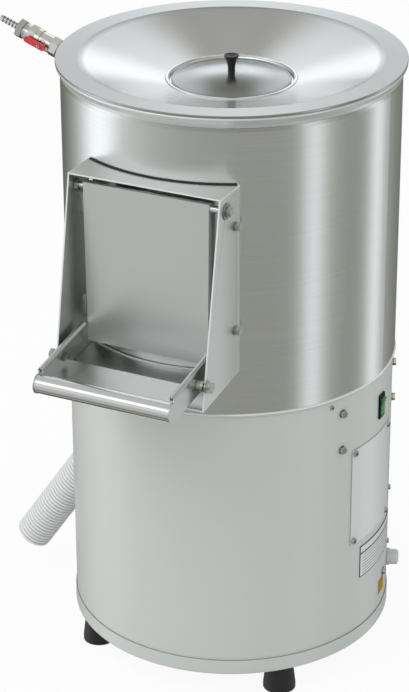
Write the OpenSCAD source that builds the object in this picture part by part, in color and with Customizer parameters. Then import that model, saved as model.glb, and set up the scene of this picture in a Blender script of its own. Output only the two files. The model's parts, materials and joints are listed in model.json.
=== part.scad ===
// Commercial potato peeler: a floor-standing drum with a funnel top and a lid, a
// discharge chute with a hanging door and a tilting tray, a water inlet with a ball
// valve and a corrugated drain hose. Millimetres. The drum axis is +Z through the
// origin, the floor is z = 0, the chute faces -Y and the switch faces +X.

/* [Drum] */
// outside radius of the drum
drum_r = 200; // [150:1:260]
// sheet thickness of the drum
drum_t = 1.5; // [1:0.1:3]
// height of the seam bead above the floor (its top)
seam_z = 392.5; // [300:0.5:450]
// height where the drum wall starts to flare
flare_z = 739; // [650:1:800]
// height of the top cover's rim
rim_z = 759.6; // [700:0.1:820]
// outside radius of the top cover
rim_r = 205.4; // [155:0.1:270]

/* [Base] */
// height of the rubber feet
foot_h = 35; // [20:1:60]
// radius of the feet at the floor
foot_r = 20; // [12:0.5:30]
// radius of the circle that the feet stand on
foot_pc = 178; // [120:1:185]
// outside radius of the lower housing
hous_r = 197.9; // [150:0.1:200]
// sheet thickness of the lower housing
hous_t = 1.5; // [1:0.1:3]
// height of the base pan's upstand
pan_h = 19.9; // [10:0.1:40]

/* [Top] */
// radius where the cover's flat rim turns into the funnel
crease_r = 179; // [120:1:190]
// radius of the bead at the funnel's mouth
mouth_r = 78; // [50:1:110]
// height of the mouth bead's top
mouth_z = 733.5; // [700:0.5:750]
// inside radius of the feed throat
throat_r = 64; // [40:1:90]
// rise of the lid's dome
dome_h = 9; // [0:0.5:30]

/* [Chute] */
// half width over the chute's side plates
chute_x = 95; // [70:1:120]
// sheet thickness of the chute
sheet = 2; // [1:0.1:3]
// height of the chute's top
chute_top = 677.5; // [600:0.5:720]
// distance of the chute's top front edge from the drum axis
chute_yt = 226; // [205:1:260]
// distance of the chute's lower front edge from the drum axis
chute_yb = 270.5; // [210:0.5:320]
// height of the chute's lower front corner
chute_zb = 438; // [400:0.5:500]
// upward slope of the chute floor towards the drum
floor_slope = 0.115; // [0:0.005:0.3]

/* [Door] */
// door rod's distance from the drum axis
rod_y = 211; // [200:0.5:240]
// door rod's height
rod_z = 659; // [600:0.5:700]
// door rod's radius
rod_r = 4; // [2:0.5:8]
// height of the door's lower edge
door_zb = 468.5; // [465:0.5:476]
// half width of the door at its top
door_wt = 78.7; // [74:0.1:80]
// half width of the door at its lower edge
door_wb = 77.1; // [74:0.1:77.5]
// depth of the returns along the door's sides
door_side = 7; // [3:0.5:12]
// sideways place of the door on its rod
door_dx = -2.5; // [-4:0.5:2]
// thickness of the door and tray sheet
thin = 1.5; // [1:0.1:2]

/* [Tray] */
// half width over the tray's side walls
tray_x = 85.5; // [70:0.5:90]
// sideways place of the tray between the chute's plates
tray_dx = -1.5; // [-5:0.5:5]
// distance of the tray's rear end from the drum axis
tray_back = 219; // [210:0.5:225]
// tray pivot's distance from the drum axis
piv_y = 263; // [240:1:280]
// tray pivot's height
piv_z = 467; // [440:1:500]
// distance of the front rail from the drum axis
rail_y = 322; // [300:1:360]
// height of the front rail
rail_z = 459.4; // [440:0.1:480]
// radius of the front rail
rail_r = 11.2; // [6:0.1:15]
// radius of the rolled hem on the tray's walls
hem_r = 3.6; // [2:0.1:6]

/* [Panel] */
// azimuth of the rocker switch, in degrees from the chute towards the panel
switch_az = 91.1; // [60:0.1:120]
// height of the rocker switch
switch_z = 344; // [250:1:370]
// azimuths of the bolts beside the switch
panel_az = [67, 113];
// heights of the bolts beside the switch
panel_z = [318.5, 366.7];
// azimuths of the service cover's screws
cover_az = [73.7, 99.4];
// heights of the service cover's screws
cover_z = [184.7, 304.9];
// azimuth of the cable gland and the terminal block's screws
gland_az = 110; // [100:0.5:130]
// height of the cable gland
gland_z = 96; // [70:1:150]
// heights of the terminal block's screws
block_z = [119.5, 197];

/* [Drive] */
// radius of the main shaft
shaft_r = 12.5; // [8:0.5:20]
// radius of the abrasive disc
disc_r = 187; // [140:1:192]
// height of the disc's flat top
disc_z = 441; // [420:1:460]
// distance of the motor axis from the drum axis
motor_y = 115; // [80:1:130]
// height of the belt's middle
belt_z = 265; // [250:1:290]
// outside radius of the driven pulley
pul_r = 80; // [50:1:90]
// outside radius of the motor pulley
mpul_r = 26; // [15:1:40]
// number of swells on the disc
swells = 3; // [2:1:6]

/* [Water] */
// upward tilt of the inlet, in degrees
inlet_tilt = 20; // [0:1:60]
// height where the inlet's axis meets the drum
inlet_z = 721; // [660:1:730]
// distance of the valve's stem from the drum, along the inlet
valve_s = 51.5; // [40:0.5:70]
// radius of the drain hose's ribs
hose_r = 23.8; // [15:0.1:35]
// rib pitch of the drain hose
hose_pitch = 5.3; // [3:0.1:10]
// number of ribs on the drain hose
hose_n = 43; // [20:1:60]
// angle of the drain hose from the vertical, in degrees
hose_lean = 34.24; // [0:0.01:60]
// distance of the drain pipe from the drum axis
drain_x = 153.3; // [100:0.1:165]
// height where the pipe and hose axes cross
drain_z = 250; // [200:1:300]

/* [Colours] */
// brushed stainless steel
c_steel = [0.74, 0.75, 0.74];
// satin housing
c_satin = [0.78, 0.79, 0.78];
// polished steel and plated fasteners
c_bright = [0.86, 0.87, 0.88];
// black rubber and plastic
c_black = [0.07, 0.07, 0.07];
// cast iron and motor paint
c_dark = [0.3, 0.31, 0.33];
// light grey plastic
c_grey = [0.75, 0.76, 0.76];
// white hose
c_white = [0.9, 0.91, 0.9];
// abrasive
c_grit = [0.42, 0.41, 0.38];
// red lever
c_red = [0.8, 0.09, 0.09];
// green rocker
c_green = [0.1, 0.62, 0.3];
// amber label
c_amber = [0.85, 0.6, 0.08];

/* [Hidden] */
$fn = 96;
// clearance between pieces that touch, and overlap between solids of one piece
gap = 0.05;
lap = 0.01;
feet_az = [45:90:315];
hous_z = seam_z - 4;
hous_in = hous_r - hous_t;
drum_in = drum_r - drum_t;
pan_r = hous_r + 0.15;
cover_t = 1.5;
// M5 bolts on the housing, M6 bolts on the chute and the bearing housing
m5_r = 2.5;
m5_head = 4.62;
m6_r = 3;
m6_head = 5.77;
// door seat and window sill of the discharge neck
seat_y = 2.95;
sill_z = 482;
chute_bolt_y = 188.5;
chute_bolt_z = [504.8, 632.4];
// pillars that carry the motor plate
post_x = [-88, 88];
post_y = [-48, 150];
post_r = 8;
plate_z = 240;
bolt_pc = 56;
earth_az = 99.3;
earth_z = 97.2;
hose_s0 = 19;
hose_len = hose_n * hose_pitch;
cuff_r = 20.6;
// rise of the tray's hems towards the drum, and their length
hem_slope = 0.148;
hem_len = (rail_y - 2 - tray_back) / cos(atan(hem_slope));
barb_end = 116.6;

function arc(cx, cy, r, a0, a1, n) =
  [for (i = [0:n]) [cx + r * cos(a0 + (a1 - a0) * i / n), cy + r * sin(a0 + (a1 - a0) * i / n)]];
// height of the chute floor's top face at distance y from the drum axis
function floor_z(y) = chute_zb + 2 + (chute_yb - y) * floor_slope;
// height of the tray's underside, and of its hem's middle
function tray_zl(y) = 447.6 + 0.11 * (318 - y);
function hem_z(y) = 474.4 + hem_slope * (320 - y);
function lid_z(r) = mouth_z - 3 + dome_h * (1 - pow(r / 68, 2));

// local +Z points outward at azimuth az (0 is -Y, 90 is +X), local +Y is up
module radial(az, r, z)
  rotate([0, 0, az])
    translate([0, -r, z])
      rotate([90, 0, 0])
        children();
// local +Z along +X
module along_x(x, y, z)
  translate([x, y, z])
    rotate([0, 90, 0])
      children();
module tube(r, ri, h)
  difference() {
    cylinder(r = r, h = h);
    translate([0, 0, -1])
      cylinder(r = ri, h = h + 2);
  }
module nut(r = m5_head, ri = m5_r + gap, h = 4)
  difference() {
    cylinder(r = r, h = h, $fn = 6);
    translate([0, 0, -1])
      cylinder(r = ri, h = h + 2);
  }
// a bolt along local +Z: washer on z = 0, head outside, shank inward
module bolt(head = m5_head, head_h = 3.5, washer = 5, shank = m5_r, len = 10) {
  cylinder(r = washer, h = 1);
  translate([0, 0, 1 - lap])
    cylinder(r = head, h = head_h, $fn = 6);
  translate([0, 0, -len])
    cylinder(r = shank, h = len + lap);
}
module pan_screw(r = 4, h = 2.4, shank = 2, len = 6)
  difference() {
    union() {
      cylinder(r1 = r, r2 = r - 0.5, h = h);
      translate([0, 0, -len])
        cylinder(r = shank, h = len + lap);
    }
    for (a = [0, 90])
      translate([0, 0, h])
        rotate([0, 0, a])
          cube([r * 1.1, 1, 1.6], center = true);
  }
// a bent sheet between two azimuths
module shell(r0, r1, z0, z1, az0, az1)
  rotate([0, 0, az0 - 90])
    rotate_extrude(angle = az1 - az0)
      translate([r0, z0])
        square([r1 - r0, z1 - z0]);

// ---------------------------------------------------------------- base
module base_pan() color(c_satin)
  difference() {
    rotate_extrude()
      polygon(concat(
        [[0, foot_h], [pan_r - 2, foot_h]],
        arc(pan_r - 1.5, foot_h + 3, 3, -80, 0, 4),
        arc(pan_r + 0.75, foot_h + pan_h - 0.75, 0.75, 0, 180, 6),
        [[pan_r, foot_h + 2], [0, foot_h + 2]]));
    for (a = feet_az)
      rotate([0, 0, a])
        translate([0, -foot_pc, foot_h - 1])
          cylinder(r = 4.2, h = 5);
    // vents under the motor
    for (a = [0:30:330])
      rotate([0, 0, a])
        translate([0, -75, foot_h - 1])
          cylinder(r = 6, h = 5);
  }
// solid at the floor, moulded round the head of its stud
module feet() color(c_black)
  for (a = feet_az)
    rotate([0, 0, a])
      translate([0, -foot_pc, 0])
        rotate_extrude()
          polygon([[0, 0], [foot_r, 0], [foot_r, 6], [16.5, foot_h], [4.1, foot_h], [4.1, 16.1],
            [9.1, 16.1], [9.1, 11.9], [0, 11.9]]);
module foot_studs() color(c_bright)
  for (a = feet_az)
    rotate([0, 0, a])
      translate([0, -foot_pc, 0]) {
        translate([0, 0, 12])
          cylinder(r = 9, h = 4);
        translate([0, 0, 15])
          cylinder(r = 4, h = foot_h - 5);
        translate([0, 0, foot_h + 2])
          nut(r = 7.5, ri = 4 + gap, h = 6);
      }

module panel_holes() {
  for (a = panel_az, z = panel_z)
    radial(a, 185, z)
      cylinder(r = m5_r + 0.2, h = 20);
  radial(62.1, 185, 379.6)
    cylinder(r = 2.2, h = 20);
  radial(switch_az, 192, switch_z)
    cube([12, 27, 40], center = true);
}
module cover_holes()
  for (a = cover_az, z = cover_z)
    radial(a, 185, z)
      cylinder(r = 2.1, h = 20);
module lower_housing() color(c_satin)
  difference() {
    translate([0, 0, foot_h + 2])
      tube(hous_r, hous_in, hous_z - foot_h - 2);
    panel_holes();
    cover_holes();
    for (z = block_z)
      radial(gland_az, 185, z)
        cylinder(r = m5_r + 0.2, h = 20);
    radial(earth_az, 185, earth_z)
      cylinder(r = m5_r + 0.2, h = 20);
    radial(gland_az, 185, gland_z)
      cylinder(r = 6.3, h = 20);
    // service window behind the cover
    radial(87, 195, 244.5)
      cube([70, 100, 30], center = true);
    hose_axis(0)
      cylinder(r = hose_r + 3.3, h = 180);
  }
module panel_cover() color(c_satin)
  difference() {
    shell(hous_r + gap, hous_r + 1.05, 179.6, 309.6, 72.2, 101.3);
    cover_holes();
  }
module cover_screws() color(c_bright)
  for (a = cover_az, z = cover_z)
    radial(a, hous_r + 1.1, z)
      pan_screw();
module switch_backplate() color(c_steel)
  difference() {
    shell(hous_in - 2.05, hous_in - gap, 308, 378, 64, 116.5);
    panel_holes();
  }
module housing_bolts() color(c_bright) {
  for (a = panel_az, z = panel_z) {
    radial(a, hous_r + gap, z)
      bolt();
    radial(a, hous_r - 9, z)
      nut();
  }
  radial(62.1, hous_r + gap, 379.6)
    pan_screw(r = 2.8, h = 1.8);
  for (z = block_z)
    radial(gland_az, hous_r + gap, z)
      pan_screw(r = 3.8, shank = m5_r, len = 12);
  radial(earth_az, hous_r + gap, earth_z)
    bolt(head_h = 2.6, len = 12);
  radial(earth_az, hous_in - 4.2, earth_z)
    nut();
}
module rating_plate() color(c_bright)
  shell(hous_r + gap, hous_r + 0.65, 125.4, 168.9, 78.1, 107.6);
module blank_label() color(c_amber)
  shell(hous_r + gap, hous_r + 0.35, 71.8, 91.3, 93.9, 99.9);
module cable_gland() color(c_grey) {
  radial(gland_az, hous_r + gap, gland_z)
    difference() {
      union() {
        cylinder(r = 10.9, h = 4, $fn = 6);
        translate([0, 0, -11])
          cylinder(r = 6.2, h = 16);
        translate([0, 0, 4 - lap])
          rotate_extrude()
            polygon(concat([[0, 0], [9.6, 0]], arc(5.9, 7.2, 3.7, 0, 80, 6), [[4, 11.2], [0, 11.2]]));
      }
      translate([0, 0, -12])
        cylinder(r = 4, h = 40);
    }
  radial(gland_az, hous_in - 4.3, gland_z)
    nut(r = 9, ri = 6.25);
}
module terminal_block() color(c_grey)
  difference() {
    union() {
      intersection() {
        radial(gland_az, 187, 158.3)
          cube([26, 104, 40], center = true);
        translate([0, 0, 100])
          tube(hous_in - gap, 192, 120);
      }
      radial(gland_az, 186, 160)
        cube([22, 56, 13], center = true);
    }
    for (z = block_z)
      radial(gland_az, 170, z)
        cylinder(r = m5_r + 0.1, h = 40);
    for (i = [-2:2])
      radial(gland_az, 179, 160 + i * 10)
        cube([12, 6, 8], center = true);
  }
module switch_body() color(c_black)
  radial(switch_az, hous_r + gap, switch_z)
    difference() {
      union() {
        translate([-7.6, -15.5, 0])
          cube([15.2, 31, 2]);
        translate([-5.9, -13.3, -26])
          cube([11.8, 26.6, 27]);
      }
      translate([-5, -12.7, -14])
        cube([10, 25.4, 20]);
      translate([-5.7, 0, -5])
        rotate([0, 90, 0])
          cylinder(r = 1.55, h = 11.4);
    }
module rocker() color(c_green)
  radial(switch_az, hous_r - 4.95, switch_z)
    rotate([7, 0, 0]) {
      rotate([90, 0, 90])
        translate([0, 0, -4.8])
          linear_extrude(9.6)
            polygon([[-9.6, -3], [-11.2, 1], [-11.2, 9.2], [0, 7.6], [11.2, 9.2], [11.2, 1], [9.6, -3]]);
      translate([-5.5, 0, 0])
        rotate([0, 90, 0])
          cylinder(r = 1.5, h = 11);
    }

// ---------------------------------------------------------------- drum
module seam_ring() color(c_bright)
  rotate_extrude()
    polygon(concat(
      [[186, seam_z - 4]],
      arc(drum_r - 0.8, seam_z - 2, 2, -90, 90, 8),
      [[186, seam_z]]));
// a prism through the drum wall, tapering from half width wt at z1 to wb at z0
module window_prism(wt, wb, z1, z0, y0, y1)
  translate([0, -y0, 0])
    rotate([90, 0, 0])
      linear_extrude(y1 - y0)
        polygon([[-wb, z0], [wb, z0], [wt, z1], [-wt, z1]]);
module chute_bolt_holes()
  for (z = chute_bolt_z)
    along_x(-120, -chute_bolt_y, z)
      cylinder(r = m6_r + 0.1, h = 240);
// angle lugs inside the chute's side plates, welded to the drum
module chute_lugs()
  difference() {
    for (s = [-1, 1], z = chute_bolt_z)
      translate([s * (chute_x - sheet - 1.05) - 1, -199, z - 12])
        cube([2, 22.1, 24]);
    chute_bolt_holes();
  }
module drum_wall()
  difference() {
    rotate_extrude()
      polygon(concat(
        [[drum_in, seam_z], [drum_r, seam_z], [drum_r, flare_z], [drum_r + 0.5, flare_z + 4.5],
         [drum_r + 1.9, flare_z + 9], [drum_r + 3.7, flare_z + 12.4]],
        arc(drum_r + 2.7, rim_z - 5, 2.4, -20, 180, 10),
        [[drum_r + 0.5, flare_z + 11.5], [drum_r - 0.4, flare_z + 7.5], [drum_r - 1.2, flare_z + 3.5],
         [drum_in, flare_z]]));
    window_prism(68, 60.5, 645, sill_z + 1.5, 150, 230);
    inlet_axis(-20)
      cylinder(r = 8.55, h = 40);
  }
module drum() color(c_steel) {
  chute_lugs();
  drum_wall();
}
module post_places()
  for (x = post_x, y = post_y)
    translate([x, y, 0])
      children();
module ring_places()
  for (a = [30:60:330])
    rotate([0, 0, a])
      translate([0, bolt_pc, 0])
        children();
module chamber_floor() color(c_steel)
  difference() {
    translate([0, 0, seam_z])
      tube(drum_in - 0.2, 34.1, 3);
    translate([-drain_x, 0, seam_z - 1])
      cylinder(r = 20 + gap, h = 6);
    translate([0, 0, seam_z - 1]) {
      ring_places()
        cylinder(r = m6_r + 0.2, h = 6);
      post_places()
        cylinder(r = 4.2, h = 6);
    }
  }
module drain_pipe() color(c_steel)
  difference() {
    translate([-drain_x, 0, 0]) {
      translate([0, 0, 266])
        cylinder(r = 20, h = seam_z + 3 - 266);
      // weld collar under the floor
      translate([0, 0, seam_z - 4])
        cylinder(r = 23, h = 4 - gap);
    }
    translate([-drain_x, 0, 260])
      cylinder(r = 18.5, h = 150);
  }
module chamber_liner() color(c_grit)
  difference() {
    translate([0, 0, 449])
      tube(drum_in - 0.2, 192.5, 199);
    window_prism(70, 61.2, 655, 440, 150, 230);
  }
module top_cover() color(c_steel) {
  rotate_extrude()
    polygon([
      [rim_r - 1.4, rim_z - 2.2], [rim_r, rim_z - 2.2], [rim_r, rim_z - 0.6], [rim_r - 0.6, rim_z],
      [crease_r, rim_z], [mouth_r - 0.3, mouth_z - 1.4], [mouth_r - 0.3, mouth_z - 3],
      [crease_r - 0.4, rim_z - cover_t], [rim_r - 1.4, rim_z - cover_t]]);
  // locating ring inside the drum
  translate([0, 0, rim_z - 22])
    tube(drum_in - 0.6, drum_in - 2.1, 22 - cover_t);
}
module cover_gasket() color(c_black)
  translate([0, 0, rim_z - 2.6])
    tube(drum_r + 3.9, drum_r + 0.5, 1.1);
module feed_collar() color(c_bright)
  rotate_extrude()
    polygon(concat(
      [[throat_r, mouth_z - 33.5], [throat_r + 1.5, mouth_z - 33.5], [throat_r + 1.5, mouth_z - 9],
       [mouth_r - 4, mouth_z - 6], [mouth_r - 1.3, mouth_z - 4.4]],
      arc(mouth_r - 2.4, mouth_z - 2, 2, -20, 180, 8),
      [[mouth_r - 6, mouth_z - 5.5], [throat_r, mouth_z - 5.5]]));
module lid() color(c_steel)
  difference() {
    rotate_extrude()
      polygon(concat(
        [for (i = [0:8]) [i * 8.2, lid_z(i * 8.2) - 1.2]],
        [[67, mouth_z - 5.4]],
        arc(68.6, mouth_z - 3.6, 1.8, -90, 150, 8),
        [for (i = [8:-1:0]) [i * 8.2, lid_z(i * 8.2)]]));
    translate([0, 0, mouth_z])
      cylinder(r = 2.1, h = 20);
  }
module lid_knob() color(c_black)
  translate([0, 0, lid_z(0)]) {
    rotate_extrude()
      polygon([[0, gap], [4.6, gap], [4.2, 1.5], [4.2, 4], [4.7, 8], [6.1, 13], [8.9, 18.6], [8.4, 19.4],
        [5, 18.8], [0, 18.2]]);
    translate([0, 0, -4.4])
      cylinder(r = 2, h = 4.8);
    translate([0, 0, -3.7])
      cylinder(r = 4, h = 2.4, $fn = 6);
  }

// ---------------------------------------------------------------- water inlet
// local +Z runs outward along the inlet, from distance s outside the drum
module inlet_axis(s)
  translate([-drum_r - s * cos(inlet_tilt), 0, inlet_z + s * sin(inlet_tilt)])
    rotate([0, inlet_tilt - 90, 0])
      children();
// local +Z along the valve's stem
module stem_axis()
  inlet_axis(valve_s)
    rotate([90, 0, 0])
      children();
module inlet_pipe() color(c_steel)
  inlet_axis(-16)
    tube(8.5, 6, 51);
module valve_body() color(c_bright)
  difference() {
    union() {
      inlet_axis(32)
        rotate([0, 0, 15])
          cylinder(r = 12.2, h = 10.5, $fn = 6);
      inlet_axis(42.4)
        cylinder(r = 10.6, h = 15.6);
      inlet_axis(57.9)
        cylinder(r = 11.6, h = 6.2);
      inlet_axis(64)
        rotate([0, 0, 15])
          cylinder(r = 12.4, h = 9.6, $fn = 6);
      inlet_axis(73.5)
        cylinder(r = 9.6, h = 4.5);
      stem_axis()
        cylinder(r = 5.6, h = 13.2);
    }
    inlet_axis(31)
      cylinder(r = 8.6, h = 6);
    inlet_axis(30)
      cylinder(r = 5, h = 60);
    inlet_axis(71.5)
      cylinder(r = 6.6, h = 10);
    inlet_axis(valve_s)
      sphere(r = 7.4);
    stem_axis()
      cylinder(r = 3.05, h = 20);
  }
module valve_ball_stem() color(c_bright)
  difference() {
    union() {
      difference() {
        inlet_axis(valve_s)
          sphere(r = 7.32);
        stem_axis()
          translate([0, 0, 11.4])
            cube([20, 20, 10], center = true);
      }
      stem_axis() {
        translate([0, 0, 6.3])
          cylinder(r = 3, h = 8.9);
        translate([0, 0, 15])
          cylinder(r = 2.5, h = 3.2);
      }
    }
    inlet_axis(valve_s - 15)
      cylinder(r = 5, h = 30);
  }
module valve_lever() color(c_red)
  stem_axis()
    translate([0, 0, 15.25])
      difference() {
        hull() {
          translate([0, -4.7, 0])
            cylinder(r = 3.9, h = 2.9);
          translate([0, 17.6, 0])
            cylinder(r = 3.7, h = 2.9);
        }
        translate([0, 0, -1])
          cylinder(r = 2.55, h = 8);
      }
module lever_screw() color(c_bright)
  stem_axis()
    translate([0, 0, 18.25])
      difference() {
        cylinder(r = 2.4, h = 1.6);
        translate([0, 0, 1.6])
          cube([4, 0.7, 1.2], center = true);
      }
module hose_barb() color(c_bright)
  inlet_axis(0)
    difference() {
      union() {
        translate([0, 0, 72])
          cylinder(r = 6.5, h = 7);
        translate([0, 0, 78.05])
          cylinder(r = 9.8, h = 4);
        translate([0, 0, 82])
          rotate([0, 0, 5])
            cylinder(r = 12.2, h = 7.8, $fn = 6);
        translate([0, 0, 89])
          cylinder(r = 3.2, h = barb_end - 89);
        for (i = [1:5])
          translate([0, 0, barb_end - i * 4.6])
            cylinder(r1 = 4.2, r2 = 3.3, h = 3.8);
      }
      translate([0, 0, 71])
        cylinder(r = 3, h = 8);
      translate([0, 0, 78])
        cylinder(r = 2.2, h = 60);
    }

// ---------------------------------------------------------------- chute
module outside_drum()
  difference() {
    children();
    translate([0, 0, 380])
      cylinder(r = drum_r + 0.03, h = 340);
  }
module chute_side_plates() color(c_steel)
  outside_drum()
    difference() {
      for (s = [-1, 1])
        translate([s * (chute_x - sheet / 2) - sheet / 2, 0, 0])
          rotate([90, 0, 90])
            linear_extrude(sheet)
              polygon([[-150, chute_top - sheet], [-chute_yt, chute_top - sheet], [-chute_yb, chute_zb],
                [-chute_yb + 1, chute_zb - 0.2], [-150, floor_z(150) - sheet - 0.3]]);
      along_x(-120, -rod_y, rod_z)
        cylinder(r = rod_r + 0.1, h = 240);
      along_x(-120, -piv_y, piv_z)
        cylinder(r = 4.1, h = 240);
      chute_bolt_holes();
    }
module chute_top_plate() color(c_steel)
  outside_drum() {
    translate([-chute_x, -chute_yt - 0.3, chute_top - sheet + gap])
      cube([2 * chute_x, 80, sheet]);
    // stop nib under the front edge
    translate([-68, -chute_yt + 0.2, chute_top - sheet - 2.4])
      cube([4.5, 3, 3]);
  }
module floor_slab(z0, z1)
  translate([-chute_x + sheet + gap, 0, 0])
    rotate([90, 0, 90])
      linear_extrude(2 * (chute_x - sheet - gap))
        polygon([[-chute_yb, floor_z(chute_yb) + z0], [-150, floor_z(150) + z0],
          [-150, floor_z(150) + z1], [-chute_yb, floor_z(chute_yb) + z1]]);
module chute_floor_plate() color(c_steel) {
  outside_drum()
    floor_slab(-sheet, 0);
  // lip along the drum
  intersection() {
    floor_slab(-sheet / 2, 1.7);
    translate([0, 0, 430])
      tube(drum_r + 2.5, drum_r + 0.9, 60);
    translate([0, -200, 450])
      cube([2 * chute_x, 100, 60], center = true);
  }
}
module chute_bolts() color(c_bright)
  for (s = [0, 1], z = chute_bolt_z)
    mirror([s, 0, 0]) {
      along_x(chute_x + gap, -chute_bolt_y, z)
        bolt(head = 5.4, head_h = 5.8, washer = 5.2, shank = m6_r, len = 10.5);
      along_x(chute_x - sheet - 7.15, -chute_bolt_y, z)
        nut(r = m6_head, ri = m6_r + gap, h = 5);
    }
// everything below the sill, which falls gently outwards
module under_sill(rise = 0)
  rotate([90, 0, 90])
    translate([0, 0, -100])
      linear_extrude(200)
        polygon([[-150, 400], [-150, sill_z + 6.25 + rise], [-260, sill_z - 7.5 + rise], [-260, 400]]);
module discharge_neck() color(c_steel)
  difference() {
    outside_drum()
      window_prism(70, 61.8, 647, 470, 150, 250);
    under_sill();
    difference() {
      window_prism(68, 59.8, 645, 465, 140, 260);
      under_sill(2);
    }
    // in front of the door's seat
    door_frame()
      translate([-150, -80, -300])
        cube([300, 80 - seat_y, 330]);
  }

// ---------------------------------------------------------------- door
// origin on the rod, in the middle of the door
module door_frame()
  translate([door_dx, -rod_y, rod_z])
    children();
module door_rod() color(c_bright)
  along_x(-chute_x + gap, -rod_y, rod_z)
    cylinder(r = rod_r, h = 2 * chute_x + 6);
module door_rod_nuts() color(c_bright) {
  along_x(chute_x + gap, -rod_y, rod_z) {
    tube(9.6, rod_r + gap, 1.2);
    translate([0, 0, 1.2])
      nut(r = 6.8, ri = rod_r + gap);
  }
  along_x(-chute_x + sheet + gap, -rod_y, rod_z)
    nut(r = 7, ri = rod_r + gap, h = 5);
}
module door() color(c_steel)
  door_frame() {
    len = rod_z - door_zb;
    difference() {
      union() {
        // sheet
        translate([0, -rod_r - gap, 0])
          rotate([90, 0, 0])
            linear_extrude(thin)
              polygon([[-door_wt, 6], [door_wt, 6], [door_wb, -len], [-door_wb, -len]]);
        // side returns
        for (s = [-1, 1])
          translate([0, door_side - rod_r - gap - thin, 0])
            rotate([90, 0, 0])
              linear_extrude(door_side - thin / 2)
                polygon([[s * door_wt, 6], [s * (door_wt - thin), 6], [s * (door_wb - thin), -len],
                  [s * door_wb, -len]]);
        // eyes on the rod
        for (x = [-door_wt + 1, -9, door_wt - 19])
          along_x(x, 0, 0)
            cylinder(r = 5.5, h = 18);
        // top and lower returns
        translate([-door_wt, -rod_r - 0.2, 4.5])
          cube([2 * door_wt, 3.4, thin]);
        translate([-door_wb + 6, -rod_r - 0.2, -len])
          cube([2 * door_wb - 12, 3, thin]);
      }
      along_x(-door_wt - 2, 0, 0)
        cylinder(r = rod_r + gap, h = 2 * door_wt + 4);
    }
  }
module door_gasket() color(c_black)
  door_frame()
    translate([-door_dx, -rod_r - 0.02, 0])
      rotate([-90, 0, 0])
        linear_extrude(0.95)
          difference() {
            polygon([[-72, 11], [72, 11], [63.2, 180.8], [-63.2, 180.8]]);
            polygon([[-67, 16], [67, 16], [58.6, 176], [-58.6, 176]]);
          }

// ---------------------------------------------------------------- tray
module tray_wall()
  difference() {
    linear_extrude(thin)
      union() {
        translate([-rail_y, rail_z])
          circle(r = 12);
        polygon([[-rail_y + 1.3, rail_z - 11.9], [-tray_back, tray_zl(tray_back)],
          [-tray_back, hem_z(tray_back)], [-319.5, hem_z(319.5)], [-rail_y + 1, rail_z + 12]]);
      }
    translate([-piv_y, piv_z, -1])
      cylinder(r = 4.05, h = 4);
  }
module tray_pan() color(c_steel)
  translate([tray_dx, 0, 0]) {
    for (x = [-tray_x, tray_x - thin])
      translate([x, 0, 0])
        rotate([90, 0, 90])
          tray_wall();
    // floor
    translate([-tray_x + thin - lap, 0, 0])
      rotate([90, 0, 90])
        linear_extrude(2 * (tray_x - thin + lap))
          polygon([[-317.5, tray_zl(317.5)], [-250, tray_zl(250)],
            [-250, tray_zl(250) + thin], [-317.5, tray_zl(317.5) + thin]]);
    // rolled hems, open at the front
    for (s = [-1, 1])
      translate([s * (tray_x - 3.1), -tray_back, hem_z(tray_back)])
        rotate([90 + atan(hem_slope), 0, 0])
          difference() {
            cylinder(r = hem_r, h = hem_len);
            translate([0, 0, hem_len - 4.7])
              cylinder(r = hem_r - 1.2, h = 10);
          }
  }
module tray_rail() color(c_bright)
  along_x(tray_dx - tray_x + thin + gap, -rail_y, rail_z)
    tube(rail_r, rail_r - thin, 2 * (tray_x - thin - gap));
module tray_pivots() color(c_bright)
  for (s = [0, 1])
    mirror([s, 0, 0])
      along_x(0, -piv_y, piv_z) {
        wall = tray_x + (s == 0 ? tray_dx : -tray_dx);
        translate([0, 0, wall - thin - 4.8])
          cylinder(r = 6.2, h = 4.75, $fn = 6);
        translate([0, 0, wall - thin - 1])
          cylinder(r = 4, h = chute_x + 6 - wall + thin + 1);
        translate([0, 0, wall + gap])
          tube(6.5, 4, chute_x - sheet - wall - 2 * gap);
        translate([0, 0, chute_x + gap])
          tube(7.2, 4, 1.4);
        translate([0, 0, chute_x + 1.4])
          cylinder(r = 7, h = 6.3, $fn = 6);
      }

// ---------------------------------------------------------------- drain
// local +Z runs down the hose, from distance s past the crossing with the pipe
module hose_axis(s)
  translate([-drain_x - s * sin(hose_lean), 0, drain_z - s * cos(hose_lean)])
    rotate([0, hose_lean - 180, 0])
      children();
module drain_elbow() color(c_grey)
  difference() {
    union() {
      hose_axis(0)
        sphere(r = 22.6);
      translate([-drain_x, 0, drain_z + 5])
        cylinder(r = 23.5, h = 35);
      hose_axis(0)
        cylinder(r = 19.5, h = 60);
    }
    hose_axis(0)
      sphere(r = 18.4);
    hose_axis(0)
      cylinder(r = 17.5, h = 70);
    translate([-drain_x, 0, drain_z])
      cylinder(r = 17.5, h = 60);
    translate([-drain_x, 0, drain_z + 15.9])
      cylinder(r = 20.1, h = 40);
  }
module drain_hose() color(c_white)
  hose_axis(hose_s0)
    rotate_extrude()
      polygon(concat(
        [[20, 0], [hose_r - 0.4, 0]],
        [for (i = [0:hose_n - 1], k = [[0.04, 0], [0.46, 0], [0.6, 2.1], [0.92, 2.1]])
          [hose_r - k[1], (i + k[0]) * hose_pitch]],
        [[cuff_r, hose_len], [cuff_r, hose_len - 14], [20, hose_len - 14.2]]));
module hose_clamp() color(c_bright)
  hose_axis(25) {
    tube(hose_r + 0.9, hose_r + gap, 9);
    translate([-hose_r - 6.6, -7, 0])
      cube([6, 14, 9]);
    translate([-hose_r - 4, 5, 4.5])
      rotate([-90, 0, 0])
        cylinder(r = 3.2, h = 9);
  }
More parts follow.
